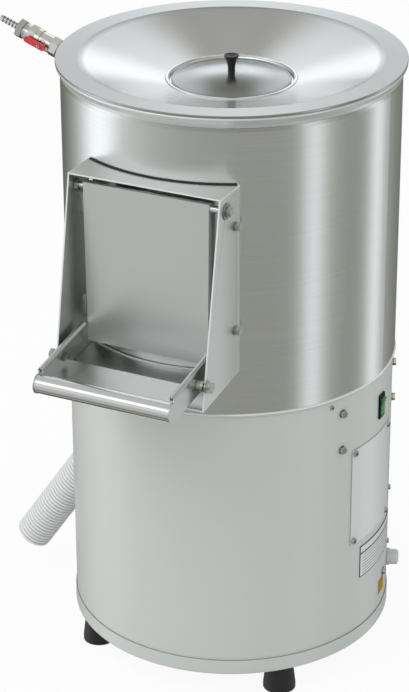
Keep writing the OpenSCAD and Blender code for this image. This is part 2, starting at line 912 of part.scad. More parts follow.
module hose_grommet() color(c_black)
  intersection() {
    hose_axis(20)
      tube(hose_r + 3.2, hose_r + 0.1, 140);
    translate([0, 0, 80])
      tube(hous_r + 2.2, hous_in - 2.2, 200);
  }

// ---------------------------------------------------------------- drive
module bearing_housing() color(c_dark)
  difference() {
    rotate_extrude()
      polygon([
        [36, 290], [36, seam_z - 8.1], [70, seam_z - 8.1], [70, seam_z - gap], [34, seam_z - gap],
        [34, 412], [26.02, 412], [26.02, 365], [18, 365], [18, 307.05], [26.02, 307.05], [26.02, 290]]);
    translate([0, 0, seam_z - 10])
      ring_places()
        cylinder(r = m6_r + 0.1, h = 12);
  }
module shaft_bearings() color(c_bright)
  for (z = [292, 365])
    translate([0, 0, z + 0.02])
      tube(26, shaft_r + gap, 15);
module shaft_seal() color(c_black)
  translate([0, 0, 404.05])
    tube(26, shaft_r + gap, 7.5);
module main_shaft() color(c_bright)
  rotate_extrude()
    polygon([[0, 250], [shaft_r, 250], [shaft_r, 413], [18, 413], [18, 420], [10, 420], [10, 439],
      [8, 439], [8, 452], [0, 452]]);
module abrasive_disc() color(c_satin) {
  rotate_extrude()
    polygon([[10.03, 420.05], [28, 420.05], [30, 428], [disc_r - 7, 428], [disc_r - 5, 424],
      [disc_r, 424], [disc_r, 436], [10.03, 436]]);
  // vanes that sweep peel to the drain
  for (a = [0, 180])
    rotate([0, 0, a])
      translate([45, -2, 402])
        cube([128, 4, 27]);
}
module disc_coating() color(c_grit) {
  rotate_extrude()
    polygon([[21, 436 + gap], [disc_r, 436 + gap], [disc_r, 446.5], [disc_r - 8, disc_z], [21, disc_z]]);
  intersection() {
    for (i = [0:swells - 1])
      rotate([0, 0, i * 360 / swells + 20])
        translate([0, 0, 428.5])
          rotate([90, 0, 0])
            cylinder(r = 19.5, h = disc_r);
    translate([0, 0, 437])
      tube(disc_r - 0.5, 26, 30);
  }
}
module disc_cap_nut() color(c_bright)
  difference() {
    rotate_extrude()
      polygon(concat([[0, 436 + gap], [20, 436 + gap], [20, 438.5], [14, 438.5], [14, 448]],
        arc(0, 446, 14, 8, 90, 6)));
    translate([0, 0, 430])
      cylinder(r = 8.03, h = 22.1);
    translate([0, 0, 430])
      cylinder(r = 10.1, h = 9.1);
  }
// a V pulley of radius r and width w with hubs; children are cut away
module vpulley(r, hub, w, bore)
  difference() {
    rotate_extrude()
      polygon([[bore, -w / 2 - 4], [hub, -w / 2 - 4], [hub, -w / 2], [r, -w / 2], [r, -6.5],
        [r - 10, -4.6], [r - 10, 4.6], [r, 6.5], [r, w / 2], [hub, w / 2], [hub, w / 2 + 4],
        [bore, w / 2 + 4]]);
    children();
  }
module driven_pulley() color(c_dark)
  translate([0, 0, belt_z])
    vpulley(pul_r, 24, 18, shaft_r + 0.03)
      for (a = [0:60:300])
        rotate([0, 0, a])
          translate([46, 0, -20])
            cylinder(r = 13, h = 40);
module motor_pulley() color(c_dark)
  translate([0, motor_y, belt_z])
    vpulley(mpul_r, 14, 18, 9.53);
module belt_loop(depth)
  hull() {
    circle(r = pul_r - depth);
    translate([0, motor_y])
      circle(r = mpul_r - depth);
  }
module drive_belt() color(c_black)
  translate([0, 0, belt_z - 4.2])
    linear_extrude(8.4)
      difference() {
        belt_loop(0.6);
        belt_loop(8);
      }
module flange_places(turn)
  for (a = turn)
    translate([0, motor_y, 0])
      rotate([0, 0, a])
        translate([48, 0, 0])
          children();
module motor_plate() color(c_satin)
  translate([0, 0, plate_z])
    difference() {
      translate([-102, -62, 0])
        cube([204, 226, 6]);
      translate([0, motor_y, -1])
        cylinder(r = 30.05, h = 8);
      translate([0, 0, -1]) {
        flange_places(feet_az)
          cylinder(r = 3.6, h = 8);
        post_places()
          cylinder(r = 4.1, h = 8);
      }
    }
module motor_body() color(c_dark)
  difference() {
    translate([0, motor_y, 0]) {
      translate([0, 0, 84])
        cylinder(r = 57, h = 144);
      translate([0, 0, 62])
        cylinder(r = 62, h = 30);
      translate([0, 0, 226])
        cylinder(r = 62, h = 13.95);
      translate([0, 0, 239])
        cylinder(r = 30, h = 6);
      // cooling ribs
      for (a = [0:15:345])
        rotate([0, 0, a])
          translate([-1, 50, 95])
            cube([2, 12, 128]);
      // connection box
      translate([40, -22, 140])
        cube([42, 44, 62]);
    }
    translate([0, motor_y, 224])
      cylinder(r = 9.6, h = 30);
    for (a = [0:45:315])
      translate([0, motor_y, 60])
        rotate([0, 0, a])
          translate([38, 0, 0])
            cylinder(r = 6, h = 8);
    translate([0, 0, 228])
      flange_places(feet_az)
        cylinder(r = 3.6, h = 14);
  }
module motor_shaft() color(c_bright)
  translate([0, motor_y, 225])
    cylinder(r = 9.5, h = 58);
// pillars and bolts that hold the bearing housing, the motor plate and the motor
module drive_fasteners() color(c_bright) {
  ring_places() {
    translate([0, 0, seam_z + 3 + gap])
      cylinder(r = 5.5, h = 4, $fn = 6);
    translate([0, 0, seam_z - 14.5])
      cylinder(r = m6_r, h = 18);
    translate([0, 0, seam_z - 13.2])
      nut(r = m6_head, ri = m6_r + gap, h = 5);
  }
  post_places() {
    translate([0, 0, plate_z + 6 + gap])
      cylinder(r = post_r, h = seam_z - plate_z - 6 - 2 * gap);
    translate([0, 0, plate_z - 9])
      cylinder(r = 4, h = seam_z + 5 - plate_z + 9);
    translate([0, 0, seam_z + 3 + gap])
      cylinder(r1 = 7, r2 = 5, h = 2.5);
    translate([0, 0, plate_z - 6.6])
      nut(r = 7.5, ri = 4 + gap, h = 6.5);
  }
  flange_places(feet_az) {
    translate([0, 0, plate_z + 6 + gap])
      cylinder(r = 6, h = 4, $fn = 6);
    translate([0, 0, plate_z - 10])
      cylinder(r = 3.5, h = 17);
  }
}

base_pan();
feet();
foot_studs();
lower_housing();
panel_cover();
cover_screws();
switch_backplate();
housing_bolts();
rating_plate();
blank_label();
cable_gland();
terminal_block();
switch_body();
rocker();
seam_ring();
drum();
chamber_floor();
drain_pipe();
chamber_liner();
top_cover();
cover_gasket();
feed_collar();
lid();
lid_knob();
inlet_pipe();
valve_body();
valve_ball_stem();
valve_lever();
lever_screw();
hose_barb();
chute_side_plates();
chute_top_plate();
chute_floor_plate();
chute_bolts();
discharge_neck();
door_rod();
door_rod_nuts();
door();
door_gasket();
tray_pan();
tray_rail();
tray_pivots();
drain_elbow();
drain_hose();
hose_clamp();
hose_grommet();
bearing_housing();
shaft_bearings();
shaft_seal();
main_shaft();
abrasive_disc();
disc_coating();
disc_cap_nut();
driven_pulley();
motor_pulley();
drive_belt();
motor_plate();
motor_body();
motor_shaft();
drive_fasteners();
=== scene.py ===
"""The looks of a commercial potato peeler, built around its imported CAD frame.

Everything is in metres in the frame's own axes: +Z up, the chute towards -Y, the switch panel towards +X.
"""
import json
import math

import bmesh
import bpy
from mathutils import Matrix, Vector


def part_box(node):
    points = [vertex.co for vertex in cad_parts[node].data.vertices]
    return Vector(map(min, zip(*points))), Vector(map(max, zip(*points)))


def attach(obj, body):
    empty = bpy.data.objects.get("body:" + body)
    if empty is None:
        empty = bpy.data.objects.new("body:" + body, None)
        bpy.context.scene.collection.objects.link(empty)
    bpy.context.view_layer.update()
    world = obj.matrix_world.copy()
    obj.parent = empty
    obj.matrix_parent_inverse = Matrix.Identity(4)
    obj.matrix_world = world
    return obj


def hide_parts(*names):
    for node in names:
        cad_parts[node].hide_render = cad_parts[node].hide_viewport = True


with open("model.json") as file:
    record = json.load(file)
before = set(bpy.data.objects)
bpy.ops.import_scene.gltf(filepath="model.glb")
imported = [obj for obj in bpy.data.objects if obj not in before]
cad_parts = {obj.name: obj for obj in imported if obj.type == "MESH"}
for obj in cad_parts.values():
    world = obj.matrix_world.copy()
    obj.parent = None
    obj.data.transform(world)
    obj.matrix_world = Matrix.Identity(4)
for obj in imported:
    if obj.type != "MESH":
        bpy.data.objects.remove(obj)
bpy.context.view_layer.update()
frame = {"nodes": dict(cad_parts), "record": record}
MM = 0.001


# ------------------------------------------------------------------ shader nodes
class Tree:
    """Short names for making and joining shader nodes."""

    def __init__(self, tree):
        self.tree = tree
        tree.nodes.clear()

    def add(self, kind, settings=None, **inputs):
        """A node with its inputs set or linked, each called by its name or by its number, as in0 or in1."""
        node = self.tree.nodes.new("ShaderNode" + kind)
        for key, value in (settings or {}).items():
            setattr(node, key, value)
        for key, value in inputs.items():
            self.plug(node, key.replace("_", " "), value)
        return node

    def plug(self, node, key, value):
        if key.startswith("in") and key[2:].isdigit():
            socket = node.inputs[int(key[2:])]
        else:
            socket = next(s for s in node.inputs if s.name == key and s.enabled)
        if isinstance(value, bpy.types.NodeSocket):
            self.tree.links.new(value, socket)
        else:
            socket.default_value = value

    def output(self, shader, kind="OutputMaterial"):
        self.tree.links.new(shader.outputs[0], self.add(kind).inputs["Surface"])

    def place(self):
        """Where a point is on its own object, which at rest is where it is in the frame."""
        return self.add("TexCoord").outputs["Object"]

    def axes(self):
        return self.add("SeparateXYZ", Vector=self.place()).outputs

    def noise(self, scale, detail=3.0):
        return self.add("TexNoise", Vector=self.place(), Scale=scale, Detail=detail)

    def math(self, operation, a, b=0.0, c=0.0):
        return self.add("Math", {"operation": operation}, in0=a, in1=b, in2=c).outputs[0]

    def vary(self, noise, swing, middle):
        """A noise's level spread over a range that is swing wide, around the middle."""
        return self.math("ADD", self.math("MULTIPLY", noise.outputs[0], swing), middle - swing / 2)

    def less(self, mask, share):
        """1, less the share where the mask is 1."""
        return self.math("SUBTRACT", 1.0, self.math("MULTIPLY", mask, share))

    def mix(self, amount, first, second, blend="MIX"):
        """Two colours mixed, each one a socket or its red, green and blue."""
        first, second = (c if isinstance(c, bpy.types.NodeSocket) else (*c, 1) for c in (first, second))
        settings = {"data_type": "RGBA", "blend_type": blend}
        return self.add("Mix", settings, in0=amount, in6=first, in7=second).outputs[2]

    def times(self, colour, factor):
        return self.mix(1.0, colour, factor, "MULTIPLY")

    def ramp(self, value, stops, interpolation="LINEAR"):
        """A row of stops, each one a place from 0 to 1 and a grey level or a colour."""
        node = self.add("ValToRGB", in0=value)
        ramp = node.color_ramp
        ramp.interpolation = interpolation
        while len(ramp.elements) < len(stops):
            ramp.elements.new(0.5)
        for element, (place, _) in zip(ramp.elements, stops):
            element.position = place
        for element, (_, colour) in zip(ramp.elements, stops):
            grey = (colour, colour, colour) if isinstance(colour, float) else colour
            element.color = (*grey, 1.0)
        return node.outputs[0]


def new_material(name):
    material = bpy.data.materials.new(name)
    material.use_nodes = True
    return material, Tree(material.node_tree)


# ------------------------------------------------------------------ places that the looks follow
DRUM_RADIUS = 200 * MM
# beyond these distances from the axis, the drum is flared, and the top cover's brushing runs outward
FLARE_RADIUS = 200.6 * MM
FLANGE_RADIUS = 172.5 * MM
# painted shade: where the top cover and the lid are painted darker, from one distance from the axis to
# another, down to a share
COVER_SHADE = (170 * MM, 177 * MM, 0.66)
LID_SHADE = (24 * MM, 52 * MM, 0.7)

# the data plate: its rows, the share of its height below the header, its lines' half widths, and how far,
# as a turn round the drum, the rows stay off its ends
PLATE_ROWS = 8
PLATE_HEADER = 0.76
PLATE_RULE = 0.45 * MM
PLATE_BORDER = 1.1 * MM
PLATE_INSET = 0.03
# how light its foil is, and what share of that the printed rules and the border take away
PLATE_FOIL = 0.75
RULE_INK = 0.8
BORDER_INK = 0.93

# the drain hose: where its axis crosses the drain pipe's, its way down, and where its ribs start
HOSE_LEAN = math.radians(34.24)
HOSE_CROSSING = Vector((-153.3, 0, 250)) * MM
HOSE_WAY = Vector((-math.sin(HOSE_LEAN), 0, -math.cos(HOSE_LEAN)))
HOSE_START = 19 * MM
HOSE_PITCH = 5.3 * MM
HOSE_RIBS = 43
HOSE_RADIUS = 23.8 * MM
HOSE_BORE = 20.6 * MM
HOSE_GROOVE = 2.1 * MM
# above 1, this power makes the grooves narrower than the crests
HOSE_POWER = 1.6
HOSE_STEPS = 8
HOSE_SIDES = 72
HOSE_CREASE = math.radians(60)
# painted shade on the hose: how light it is, from the bottom of one groove to that of the next, darkest
# down in the grooves and lightest on the crests
HOSE_SHADE_LEVELS = [(0.0, 0.42), (0.2, 0.74), (0.42, 0.86), (0.6, 0.8), (0.82, 0.5), (1.0, 0.42)]

# the painted shadow line, a black bead that stands in for the shade in the gap where the chute's top plate
# meets
# the drum: its distance from the drum's axis, how far round it goes to either side of the chute's middle,
# its half thickness, and its height above the top plate
PAINTED_SHADOW_RADIUS = 201 * MM
PAINTED_SHADOW_HALF_TURN = math.radians(27.4)
PAINTED_SHADOW_BEAD = 1.1 * MM
PAINTED_SHADOW_RISE = 0.5 * MM
PAINTED_SHADOW_STEPS = 40
PAINTED_SHADOW_SIDES = 8


# ------------------------------------------------------------------ materials
STEEL = (0.78, 0.79, 0.775)
BRIGHT_STEEL = (0.88, 0.89, 0.89)
# a lighter colour for cut edges: a painted highlight
EDGE_HIGHLIGHT = (0.84, 0.85, 0.84)

# noise cells to a metre, along the brushing and across it
FINE_GRAIN = (7, 2600)
COARSE_GRAIN = (3, 500)
CLOUD_SCALE = 6.0
CLOUDS = 0.03
# the data plate's foil and the hose vary by this much, in this many noise cells to a metre
STAINS = 0.06
FOIL_SCALE = 400.0
STAIN_SCALE = 40.0
# a face counts as a cut edge, which takes a painted highlight, where its normal's share along the sheet's
# axis is below this
FACING = 0.7
# how much less of a mirror the cut edges and the flared band are, so that the lamps light them brighter: a
# painted highlight
EDGE_LOSS = 0.6
FLARE_LOSS = 0.45

BUMP_DEPTH = 0.4 * MM
ROUGHNESS_SWING = 0.1
# the broad variation of a plain surface is this many times wider than its texture
BROAD = 18
# how far the painted shade reaches from a corner or a neighbour
PAINTED_SHADE_REACH = 4 * MM


def radius_of(tree):
    """Distance from the drum's axis."""
    x, y, _ = tree.axes()
    return tree.math("SQRT", tree.math("ADD", tree.math("MULTIPLY", x, x), tree.math("MULTIPLY", y, y)))


def grain_noise(tree, grain, rates):
    """Noise drawn out along the brushing: round the Z axis, or along X or Z on flat sheets."""
    along, across = rates
    if grain == "round":
        x, y, z = tree.axes()
        run = tree.math("MULTIPLY", tree.math("ARCTAN2", y, x), DRUM_RADIUS * along)
        rise = tree.math("MULTIPLY", tree.math("ADD", radius_of(tree), z), across)
        cells = tree.add("CombineXYZ", X=run, Y=rise, Z=0.0)
    else:
        rate = {"x": (along, across, across), "z": (across, across, along)}[grain]
        cells = tree.add("VectorMath", {"operation": "MULTIPLY"}, in0=tree.place(), in1=rate)
    return tree.add("TexNoise", Vector=cells.outputs[0], Scale=1.0, Detail=3.0)


def grain_tangent(tree, grain, flange):
    """The way of the brushing: along X or Z, or round the Z axis and, beyond the radius flange, outward."""
    if grain != "round":
        return tree.add("CombineXYZ", X=float(grain == "x"), Y=0.0, Z=float(grain == "z")).outputs[0]
    tangent = tree.add("Tangent", {"direction_type": "RADIAL", "axis": "Z"}).outputs[0]
    if not flange:
        return tangent
    outside = tree.math("GREATER_THAN", radius_of(tree), flange)
    flat = tree.add("VectorMath", {"operation": "MULTIPLY"}, in0=tree.place(), in1=(1, 1, 0))
    outward = tree.add("VectorMath", {"operation": "NORMALIZE"}, in0=flat.outputs[0])
    mixed = tree.add("Mix", {"data_type": "VECTOR"}, in0=outside, in4=tangent, in5=outward.outputs[0])
    return mixed.outputs[1]


def edge_highlight_mask(tree, face):
    """1 on the cut edges of a flat sheet whose faces look along the axis face, where a painted highlight
    goes.
    """
    normal = tree.add("SeparateXYZ", Vector=tree.add("TexCoord").outputs["Normal"]).outputs
    return tree.math("LESS_THAN", tree.math("ABSOLUTE", normal["XYZ".index(face)]), FACING)


def painted_corner_shade(tree, painted_shade):
    """Painted shade: 1 in the open, and less by up to the given share close to a corner or a neighbour,
    where shade falls.
    """
    shade = tree.add("AmbientOcclusion", {"samples": 8, "only_local": False}, Distance=PAINTED_SHADE_REACH)
    return tree.less(tree.math("SUBTRACT", 1.0, shade.outputs["AO"]), painted_shade)


def brushed_steel(name, colour, rough, anisotropy, grain="round", lines=0.04, metallic=1.0, relief=0.04,
                  spread=ROUGHNESS_SWING, painted_shade=0.0, face=None, flare=None, outer=None, flange=None):
    """Stainless sheet: fine parallel brushing, a few clouds, and reflections drawn out across the grain.

    With a share of painted shade given, that share of the colour at most is taken away close to corners and
    bolts, as painted shade. On a flat sheet whose faces look along the axis face, the other faces are its
    cut
    edges, which get a painted highlight: a lighter colour and less of a mirror. Beyond the radius flare it
    is less of a mirror, a painted highlight that lets the lamps light the flared band brighter. With outer,
    two radii and a share, painted shade darkens the colour to that share of itself between the radii.
    Beyond the radius flange the grain runs outward.
    """
    material, tree = new_material(name)
    fine = grain_noise(tree, grain, FINE_GRAIN)
    coarse = grain_noise(tree, grain, COARSE_GRAIN)
    clouds = tree.vary(tree.noise(CLOUD_SCALE), CLOUDS, 0.0)
    shade = tree.math("ADD", tree.vary(coarse, lines, 1.0), clouds)
    # painted shade close to corners and bolts
    if painted_shade:
        shade = tree.math("MULTIPLY", shade, painted_corner_shade(tree, painted_shade))
    tint = tree.times(colour, shade)
    # painted highlight on cut edges: a lighter colour and less of a mirror
    if face:
        edge = edge_highlight_mask(tree, face)
        tint = tree.mix(edge, tint, EDGE_HIGHLIGHT)
        metallic = tree.less(edge, EDGE_LOSS)
    # painted highlight: the flared band is less of a mirror, so the lamps light it brighter
    if flare:
        metallic = tree.less(tree.math("GREATER_THAN", radius_of(tree), flare), FLARE_LOSS)
    # painted shade: the colour darkens between the two radii
    if outer:
        start, end, share = outer
        fade = tree.add("MapRange", in0=radius_of(tree), in1=start, in2=end, in3=1.0, in4=share)
        tint = tree.times(tint, fade.outputs[0])
    bump = tree.add("Bump", Strength=relief, Distance=BUMP_DEPTH, Height=fine.outputs[0])
    shader = tree.add("BsdfPrincipled", Base_Color=tint, Metallic=metallic,
                      Roughness=tree.vary(fine, spread, rough), Anisotropic=anisotropy,
                      Anisotropic_Rotation=0.25, Normal=bump.outputs[0],
                      Tangent=grain_tangent(tree, grain, flange))
    tree.output(shader)
    return material


def plain(name, colour, rough, metallic=0.0, scale=600.0, bump=0.05, speck=0.08, coat=0.0, gloss=0.5,
          painted_shade=0.0):
    """A moulded, cast or plated surface: small colour and gloss variation over a fine texture.

    With a share of painted shade given, that share of the colour at most is taken away close to a corner or
    a neighbour, as painted shade.
    """
    material, tree = new_material(name)
    fine = tree.noise(scale, 4.0)
    broad = tree.noise(scale / BROAD)
    shade = tree.vary(broad, speck, 1.0)
    # painted shade close to corners and neighbours
    if painted_shade:
        shade = tree.math("MULTIPLY", shade, painted_corner_shade(tree, painted_shade))
    ridge = tree.add("Bump", Strength=bump, Distance=BUMP_DEPTH, Height=fine.outputs[0])
    shader = tree.add("BsdfPrincipled", Base_Color=tree.times(colour, shade), Metallic=metallic,
                      Roughness=tree.vary(broad, ROUGHNESS_SWING, rough), Normal=ridge.outputs[0],
                      Coat_Weight=coat, Specular_IOR_Level=gloss)
    tree.output(shader)
    return material


def line_mask(tree, value, places, half):
    """1 where the value is within half of one of the places."""
    mask = 0.0
    for place in places:
        mask = tree.math("MAXIMUM", mask, tree.math("COMPARE", value, place, half))
    return mask


def ruled_plate(name):
    """A blank data plate: a dark border, a header and ruled rows, printed on pale foil."""
    low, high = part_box("rating_plate")
    header = low.z + PLATE_HEADER * (high.z - low.z)
    # it bends round the drum and is widest along X, so its ends are turns from the chute's side
    left, right = (math.acos(-end / high.x) for end in (low.y, high.y))
    material, tree = new_material(name)
    x, y, z = tree.axes()
    turn = tree.math("ARCTAN2", x, tree.math("MULTIPLY", y, -1.0))
    heights = [low.z + (header - low.z) * row / PLATE_ROWS for row in range(1, PLATE_ROWS)]
    inside = tree.math("MULTIPLY", tree.math("GREATER_THAN", turn, left + PLATE_INSET),
                       tree.math("LESS_THAN", turn, right - PLATE_INSET))
    rows = tree.math("MULTIPLY", line_mask(tree, z, heights, PLATE_RULE), inside)
    border = tree.math("MAXIMUM", line_mask(tree, z, [low.z, header, high.z], PLATE_BORDER),
                       line_mask(tree, turn, [left, right], PLATE_BORDER / DRUM_RADIUS))
    foil = tree.vary(tree.noise(FOIL_SCALE), STAINS, PLATE_FOIL)
    ruled = tree.math("MULTIPLY", foil, tree.less(rows, RULE_INK))
    printed = tree.math("MULTIPLY", ruled, tree.less(border, BORDER_INK))
    tree.output(tree.add("BsdfPrincipled", Base_Color=printed, Metallic=0.2, Roughness=0.4))
    return material


def ribbed_white(name):
    """Soft white plastic with painted shade down in the hose's grooves."""
    material, tree = new_material(name)
    along = tree.add("VectorMath", {"operation": "DOT_PRODUCT"}, in0=tree.place(), in1=tuple(HOSE_WAY))
    start = HOSE_CROSSING.dot(HOSE_WAY) + HOSE_START
    ribs = tree.math("DIVIDE", tree.math("SUBTRACT", along.outputs["Value"], start), HOSE_PITCH)
    groove_shade = tree.ramp(tree.math("FRACT", ribs), HOSE_SHADE_LEVELS, "EASE")
    tint = tree.times(groove_shade, tree.vary(tree.noise(STAIN_SCALE), STAINS, 1.0))
    tree.output(tree.add("BsdfPrincipled", Base_Color=tint, Roughness=0.38))
    return material


# ------------------------------------------------------------------ finishes
# a share of painted shade, given to several finishes here and below, darkens them close to corners and
# bolts
finish = {
    "brushed_stainless": brushed_steel("round_brushed_steel", STEEL, 0.25, 0.6, lines=0.1,
                                       flare=FLARE_RADIUS),
    "satin_body": brushed_steel("satin_body", (0.6, 0.612, 0.588), 0.4, 0.4, lines=0.03, metallic=0.08,
                                painted_shade=0.7),
    "polished_steel": plain("polished_steel", BRIGHT_STEEL, 0.16, 1.0, bump=0.01),
    "zinc_hardware": plain("zinc_hardware", (0.64, 0.64, 0.62), 0.14, 1.0, bump=0.02, painted_shade=1.0),
    "nickel": plain("nickel", (0.86, 0.85, 0.81), 0.18, 1.0, bump=0.02, painted_shade=0.8),
    "black_rubber": plain("black_rubber", (0.015, 0.015, 0.015), 0.55, bump=0.15),
    "black_plastic": plain("black_plastic", (0.014, 0.014, 0.013), 0.4, gloss=0.3),
    "green_rocker": plain("green_rocker", (0.01, 0.26, 0.035), 0.22, coat=0.3),
    "red_lever": plain("red_lever", (0.62, 0.03, 0.03), 0.3, coat=0.3),
    "grey_plastic": plain("grey_plastic", (0.6, 0.61, 0.59), 0.4, painted_shade=0.5),
    "white_hose": ribbed_white("white_hose"),
    "plate_metal": ruled_plate("plate_metal"),
    "amber_label": plain("amber_label", (0.39, 0.245, 0.002), 0.6, gloss=0.03),
    "dark_iron": plain("dark_iron", (0.1, 0.11, 0.12), 0.55, bump=0.3),
    "motor_paint": plain("motor_paint", (0.08, 0.1, 0.12), 0.4, bump=0.2),
    "steel_shaft": plain("steel_shaft", (0.5, 0.5, 0.5), 0.25, 1.0),
    "cast_aluminium": plain("cast_aluminium", (0.5, 0.51, 0.52), 0.45, 1.0, bump=0.3),
    "grit": plain("grit", (0.14, 0.13, 0.12), 0.85, scale=500.0, bump=1.0, speck=0.5),
}
flat_steel = brushed_steel("flat_brushed_steel", STEEL, 0.34, 0.4, grain="x")
# these sheets, and the door, give their cut edges a painted highlight
shelf_steel = brushed_steel("shelf_steel", STEEL, 0.34, 0.4, grain="x", face="Z")
side_steel = brushed_steel("side_plate_steel", STEEL, 0.36, 0.4, grain="z", face="X", painted_shade=0.7)
# the tray's steel is painted darker than the other sheets: painted shade
tray_steel = brushed_steel("tray_steel", (0.69, 0.7, 0.685), 0.34, 0.4, grain="x", relief=0.02)
# the door's steel is painted lighter than the other sheets: painted light
door_steel = brushed_steel("door_steel", (0.86, 0.87, 0.855), 0.33, 0.3, grain="x", lines=0.03, relief=0.01,
                           face="Y")
cover_satin = brushed_steel("cover_satin", (0.7, 0.715, 0.7), 0.34, 0.4, lines=0.02, metallic=0.12,
                            painted_shade=0.6)
# the top cover is painted darker towards its flange: painted shade
spun_steel = brushed_steel("spun_steel", (0.79, 0.785, 0.765), 0.2, 0.7, lines=0.03, flange=FLANGE_RADIUS,
                           outer=COVER_SHADE)
# the lid's steel is painted darker than the cover's, and darker still towards its rim: painted shade
lid_steel = brushed_steel("lid_steel", (0.62, 0.63, 0.61), 0.22, 0.3, lines=0.01, relief=0.005, spread=0.02,
                          outer=LID_SHADE)
# the seam bead's near-white colour is a painted highlight on polished steel
seam_highlight_steel = plain("seam_highlight_steel", (0.98, 0.98, 0.97), 0.25, 0.6, bump=0.01)
switch_black = plain("switch_black", (0.006, 0.006, 0.006), 0.45, gloss=0.15)
# the painted highlight on the bevels of cut sheet
cut_edge = plain("cut_edge", EDGE_HIGHLIGHT, 0.3, 0.4, bump=0.01, speck=0.02)

# the nodes whose finish isn't their slot's
SPECIAL = {
    "switch_backplate": flat_steel,
    "chamber_floor": flat_steel,
    "discharge_neck": flat_steel,
    "chute_top_plate": shelf_steel,
    "chute_floor_plate": shelf_steel,
    "chute_side_plates": side_steel,
    "tray_pan": tray_steel,
    "door": door_steel,
    "panel_cover": cover_satin,
    "top_cover": spun_steel,
    "lid": lid_steel,
    "seam_ring": seam_highlight_steel,
    "switch_body": switch_black,
    "hose_barb": finish["zinc_hardware"],
}

slots = {part["node"]: part["material_slot"] for part in frame["record"]["subparts"]}
for name, node in frame["nodes"].items():
    node.data.materials.clear()
    node.data.materials.append(SPECIAL.get(name, finish[slots[name]]))


# ------------------------------------------------------------------ eased edges
# sheets whose cut edges take a painted highlight, and by how many mm these are eased
CUT_SHEETS = {"chute_side_plates": 0.3, "chute_top_plate": 0.4, "chute_floor_plate": 0.4, "door": 0.9,
              "tray_pan": 0.4}
# other nodes that are eased, and by how much
EASED = ("lid", "housing_bolts", "chute_bolts", "tray_pivots", "door_rod_nuts", "valve_body", "hose_barb",
         "cable_gland")
EASED_WIDTH = 0.3 * MM
EASED_ANGLE = math.radians(35)
WELD_REACH = 0.002 * MM


def ease_edges(name, width, highlight_finish=None):
    """Break a CAD node's sharp edges by less than a millimetre; on cut sheet the bevels take a painted
    highlight as a finish of their own.
    """
    node = frame["nodes"][name]
    node.modifiers.new("weld", "WELD").merge_threshold = WELD_REACH
    bevel = node.modifiers.new("edges", "BEVEL")
    bevel.width = width
    bevel.segments = 2
    bevel.limit_method = "ANGLE"
    bevel.angle_limit = EASED_ANGLE
    if highlight_finish:
        node.data.materials.append(highlight_finish)
        bevel.material = len(node.data.materials) - 1
    node.modifiers.new("normals", "WEIGHTED_NORMAL").keep_sharp = True


for name, width in CUT_SHEETS.items():
    ease_edges(name, width * MM, cut_edge)
for name in EASED:
    ease_edges(name, EASED_WIDTH)


# ------------------------------------------------------------------ the hose and the painted shadow line
def circle(centre, out, side, radius, sides):
    """Points round a centre, in the plane of the directions out and side."""
    turns = [2 * math.pi * i / sides for i in range(sides)]
    return [centre + (out * math.cos(turn) + side * math.sin(turn)) * radius for turn in turns]


def tube(name, circles, closed):
    """A piece with a smooth skin from circle to circle: closed leads back to the first, or it is capped."""
    shape = bmesh.new()
    rings = [[shape.verts.new(point) for point in points] for points in circles]
    for ring, other in zip(rings, rings[1:] + rings[:1] if closed else rings[1:]):
        for corners in zip(ring, ring[1:] + ring[:1], other[1:] + other[:1], other):
            shape.faces.new(corners).smooth = True
    if not closed:
        shape.faces.new(rings[0])
        shape.faces.new(rings[-1])
    bmesh.ops.recalc_face_normals(shape, faces=shape.faces)
    mesh = bpy.data.meshes.new(name)
    shape.to_mesh(mesh)
    shape.free()
    piece = bpy.data.objects.new(name, mesh)
    bpy.context.scene.collection.objects.link(piece)
    return piece


def hose_section(step):
    """Distance along the hose and radius at a step: round crests between narrower grooves."""
    ribs = step / HOSE_STEPS
    dip = 0.5 + 0.5 * math.cos(2 * math.pi * ribs)
    return HOSE_START + ribs * HOSE_PITCH, HOSE_RADIUS - HOSE_GROOVE * dip ** HOSE_POWER


def corrugated_hose():
    """The whole drain hose turned about its own axis: ribs outside, a plain bore inside."""
    profile = [hose_section(step) for step in range(HOSE_RIBS * HOSE_STEPS + 1)]
    profile += [(profile[-1][0], HOSE_BORE), (profile[0][0], HOSE_BORE)]
    out = Vector((0, 1, 0))
    side = HOSE_WAY.cross(out)
    circles = [circle(HOSE_CROSSING + HOSE_WAY * along, out, side, radius, HOSE_SIDES)
               for along, radius in profile]
    hose = tube("corrugated_hose", circles, closed=True)
    hose.data.set_sharp_from_angle(angle=HOSE_CREASE)
    hose.data.materials.append(finish["white_hose"])
    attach(hose, "machine")
    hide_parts("drain_hose")


def painted_shadow_line():
    """A black bead where the chute's top plate meets the drum: a painted shadow in place of the shade in
    the gap there.
    """
    up = Vector((0, 0, 1))
    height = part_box("chute_top_plate")[1].z + PAINTED_SHADOW_RISE
    circles = []
    for step in range(PAINTED_SHADOW_STEPS + 1):
        turn = PAINTED_SHADOW_HALF_TURN * (2 * step / PAINTED_SHADOW_STEPS - 1)
        outward = Vector((math.sin(turn), -math.cos(turn), 0))
        centre = outward * PAINTED_SHADOW_RADIUS + up * height
        circles.append(circle(centre, outward, up, PAINTED_SHADOW_BEAD, PAINTED_SHADOW_SIDES))
    line = tube("top_plate_painted_shadow", circles, closed=False)
    line.data.materials.append(finish["black_rubber"])
    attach(line, "machine")


corrugated_hose()
painted_shadow_line()


# ------------------------------------------------------------------ studio
# What lights dull surfaces: azimuths in degrees and levels. 0 is the chute's side and 90 the switch's.
EVEN_BELT = [(-180, 0.6), (-120, 0.5), (-60, 0.85), (150, 0.85), (180, 0.6)]
